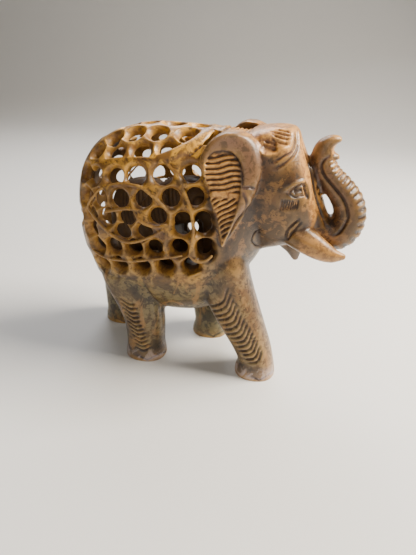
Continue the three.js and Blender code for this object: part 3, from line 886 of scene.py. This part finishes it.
class Finish:
    """Short ways to set up the nodes of a material."""

    def __init__(self, name):
        self.material = bpy.data.materials.new(name)
        self.material.use_nodes = True
        self.nodes = self.material.node_tree.nodes
        self.links = self.material.node_tree.links
        self.shader = self.nodes["Principled BSDF"]
        self.place = self.nodes.new("ShaderNodeTexCoord").outputs["Object"]

    def feed(self, socket, value):
        if isinstance(value, bpy.types.NodeSocket):
            self.links.new(value, socket)
        else:
            socket.default_value = value

    def mask(self, name):
        node = self.nodes.new("ShaderNodeAttribute")
        node.attribute_name = name
        return node.outputs["Fac"]

    def cloud(self, size, detail=4.0, rough=0.55, twist=0.0, stretch=(1, 1, 1), offset=0.0):
        """Soft noise with features of that size in metres."""
        turn = self.nodes.new("ShaderNodeMapping")
        turn.inputs["Location"].default_value = (offset, offset * 0.7, -offset)
        turn.inputs["Rotation"].default_value = (0.4, -0.5, 0.3)
        turn.inputs["Scale"].default_value = stretch
        self.links.new(self.place, turn.inputs["Vector"])
        node = self.nodes.new("ShaderNodeTexNoise")
        node.inputs["Scale"].default_value = 1 / size
        node.inputs["Detail"].default_value = detail
        node.inputs["Roughness"].default_value = rough
        node.inputs["Distortion"].default_value = twist
        self.links.new(turn.outputs["Vector"], node.inputs["Vector"])
        return node.outputs["Fac"]

    def ramp(self, value, low, high, start=0.0, end=1.0):
        """A soft change from start, where the value is low, to end, where it is high."""
        node = self.nodes.new("ShaderNodeMapRange")
        node.interpolation_type = "SMOOTHSTEP"
        self.feed(node.inputs["Value"], value)
        for name, number in (("From Min", low), ("From Max", high), ("To Min", start), ("To Max", end)):
            node.inputs[name].default_value = number
        return node.outputs["Result"]

    def reckon(self, kind, a, b):
        node = self.nodes.new("ShaderNodeMath")
        node.operation = kind
        self.feed(node.inputs[0], a)
        self.feed(node.inputs[1], b)
        return node.outputs[0]

    def plus(self, a, b):
        return self.reckon("ADD", a, b)

    def times(self, a, b):
        return self.reckon("MULTIPLY", a, b)

    def mix(self, share, a, b):
        """The colour a, with that share of the colour b."""
        node = self.nodes.new("ShaderNodeMix")
        node.data_type = "RGBA"
        self.feed(node.inputs["Factor"], share)
        self.feed(node.inputs[6], a)
        self.feed(node.inputs[7], b)
        return node.outputs[2]


def soapstone():
    stone = Finish("soapstone")
    broad = stone.cloud(0.03, detail=3, rough=0.5, twist=0.6)
    blotch = stone.cloud(0.0095, detail=5, rough=0.62, twist=0.8, offset=0.3)
    speck = stone.cloud(0.0032, detail=5, rough=0.68, twist=0.4, offset=0.7)
    vein = stone.cloud(0.013, detail=6, rough=0.62, twist=1.6, stretch=(1, 1, 0.45), offset=1.1)

    base = stone.mix(stone.ramp(broad, 0.42, 0.58), STONE["brown_dark"], STONE["brown"])
    base = stone.mix(stone.ramp(blotch, 0.51, 0.61, 0, 0.85), base, STONE["ochre"])
    base = stone.mix(stone.ramp(speck, 0.5, 0.58, 0, 0.85), base, STONE["brown_speck"])
    green = stone.mix(stone.ramp(blotch, 0.45, 0.55), STONE["green_dark"], STONE["green"])
    green = stone.mix(stone.ramp(speck, 0.5, 0.58, 0, 0.85), green, STONE["green_speck"])
    green = stone.mix(stone.ramp(vein, 0.54, 0.61, 0, 0.8), green, STONE["rust_vein"])
    gold = stone.mix(stone.ramp(blotch, 0.42, 0.6), STONE["gold_dark"], STONE["gold"])
    gold = stone.mix(stone.ramp(speck, 0.52, 0.6, 0, 0.8), gold, STONE["gold_speck"])
    bore = stone.mix(stone.ramp(speck, 0.4, 0.6), STONE["bore_dark"], STONE["bore"])
    amber_and_light = stone.mix(stone.ramp(speck, 0.45, 0.6), STONE["amber_and_light"], STONE["amber_speck"])
    violet_and_shade = stone.mix(stone.ramp(speck, 0.45, 0.6), STONE["violet_and_shade"], STONE["violet_speck"])
    # darker in the cut lines, the deeper the darker, and less so on the leaf
    cut_dark = stone.ramp(stone.mask("cut"), 0.4, 1.25, 0, 0.9)
    cut_dark = stone.times(cut_dark, stone.ramp(stone.mask("petal"), 0, 1, 1, 0.3))

    # painted shade in the trunk's bend, the deep bores, the eye sockets and under the chin; painted light on
    # the near fore leg; a painted sheen on the near feet
    for mark, strength, colour in (
        ("green", stone.ramp(broad, 0.35, 0.6, 1.0, 0.7), green),
        ("golden", 1, gold),
        ("bore", 0.8, bore),
        ("amber_and_light", 0.8, amber_and_light),
        ("violet_and_shade", 0.85, violet_and_shade),
        ("far", 0.5, STONE["far_green"]),
        ("foot_sheen", stone.ramp(blotch, 0.44, 0.54, 0.15, 0.85), STONE["painted_foot_sheen"]),
        ("crest", 0.6, STONE["rubbed_crest"]),
        ("hollow", 0.7, STONE["darker_hollow"]),
        ("deep", 0.85, STONE["unlit_depth"]),
    ):
        base = stone.mix(stone.times(stone.mask(mark), strength), base, colour)
    base = stone.mix(cut_dark, base, STONE["cut_dark"])
    stone.feed(stone.shader.inputs["Base Color"], base)

    rough = stone.ramp(speck, 0.35, 0.7, 0.3, 0.46)
    rough = stone.plus(rough, stone.times(cut_dark, 0.25))
    rough = stone.plus(rough, stone.times(stone.mask("bore"), 0.15))
    rough = stone.plus(rough, stone.times(stone.mask("deep"), 0.2))
    stone.feed(stone.shader.inputs["Roughness"], rough)
    stone.shader.inputs["IOR"].default_value = 1.45
    stone.shader.inputs["Coat Weight"].default_value = 0.12
    stone.shader.inputs["Coat Roughness"].default_value = 0.12
    grain = stone.nodes.new("ShaderNodeBump")
    grain.inputs["Strength"].default_value = 0.35
    grain.inputs["Distance"].default_value = 0.0004
    fine = stone.cloud(0.0016, detail=3, rough=0.6, stretch=(1, 1, 2.2), offset=0.2)
    stone.feed(grain.inputs["Height"], fine)
    stone.feed(stone.shader.inputs["Normal"], grain.outputs["Normal"])
    return stone.material


mark_colours(carving)
mark_colours(calf)
stone = soapstone()
finished(carving, "elephant", stone)
finished(calf, "elephant", stone)


# ---- Floor, lamps and camera -------------------------------------------------------------
# The carving stands on a sheet of pale paper that curves up behind it, in the light of three
# soft lamps. It is seen from its right side, a little from the front and from above.

SWEEP_START = 0.7         # metres behind the carving
SWEEP_RADIUS = 0.6
LAMPS_AIM = Vector((0, 0, 0.07))
AZIMUTH = math.radians(12.8)
PITCH = math.radians(28.1)
ROLL = math.radians(1.75)

bm = bmesh.new()
bmesh.ops.create_grid(bm, x_segments=1, y_segments=120, size=3)
for v in bm.verts:
    beyond = v.co.y - SWEEP_START
    if beyond > 0:
        turn = min(beyond / SWEEP_RADIUS, math.pi / 2)
        rise = max(beyond - SWEEP_RADIUS * math.pi / 2, 0)
        v.co.y = SWEEP_START + SWEEP_RADIUS * math.sin(turn)
        v.co.z = SWEEP_RADIUS * (1 - math.cos(turn)) + rise
floor = as_object("floor", [bm])
floor.data.shade_smooth()
paper = bpy.data.materials.new("floor_paper")
paper.use_nodes = True
paper_shader = paper.node_tree.nodes["Principled BSDF"]
paper_shader.inputs["Base Color"].default_value = (0.75, 0.74, 0.72, 1)
paper_shader.inputs["Roughness"].default_value = 0.8
floor.data.materials.append(paper)


def softbox(name, at, size, power, tint):
    """A square soft lamp turned towards the carving."""
    lamp = bpy.data.lights.new(name, "AREA")
    lamp.size = size
    lamp.energy = power
    lamp.color = tint
    box = bpy.data.objects.new(name, lamp)
    box.location = at
    box.rotation_euler = (LAMPS_AIM - Vector(at)).to_track_quat("-Z", "Y").to_euler()
    bpy.context.scene.collection.objects.link(box)


softbox("key", (0.5, 0.12, 0.6), size=0.4, power=20, tint=(1, 0.92, 0.8))
softbox("front", (0.1, -0.8, 0.5), size=0.6, power=2.0, tint=(1, 0.94, 0.86))
softbox("window", (-0.2, 0.5, 0.6), size=0.4, power=4, tint=(0.95, 0.96, 1))
room = bpy.data.worlds.new("room")
room.use_nodes = True
room_light = room.node_tree.nodes["Background"]
room_light.inputs["Color"].default_value = (0.92, 0.9, 0.88, 1)
room_light.inputs["Strength"].default_value = 0.13
bpy.context.scene.world = room

lens = bpy.data.cameras.new("camera")
lens.lens = 29.19
lens.sensor_width = 36
lens.clip_start = 0.01
camera = bpy.data.objects.new("camera", lens)
bpy.context.scene.collection.objects.link(camera)
camera.location = Vector((73.1 + LENGTH_SHIFT, -246.5, 186)) * 0.001
camera.rotation_mode = "QUATERNION"
camera.rotation_quaternion = (Quaternion((0, 0, 1), AZIMUTH) @ Quaternion((1, 0, 0), math.pi / 2 - PITCH)
                              @ Quaternion((0, 0, 1), ROLL))
bpy.context.scene.camera = camera
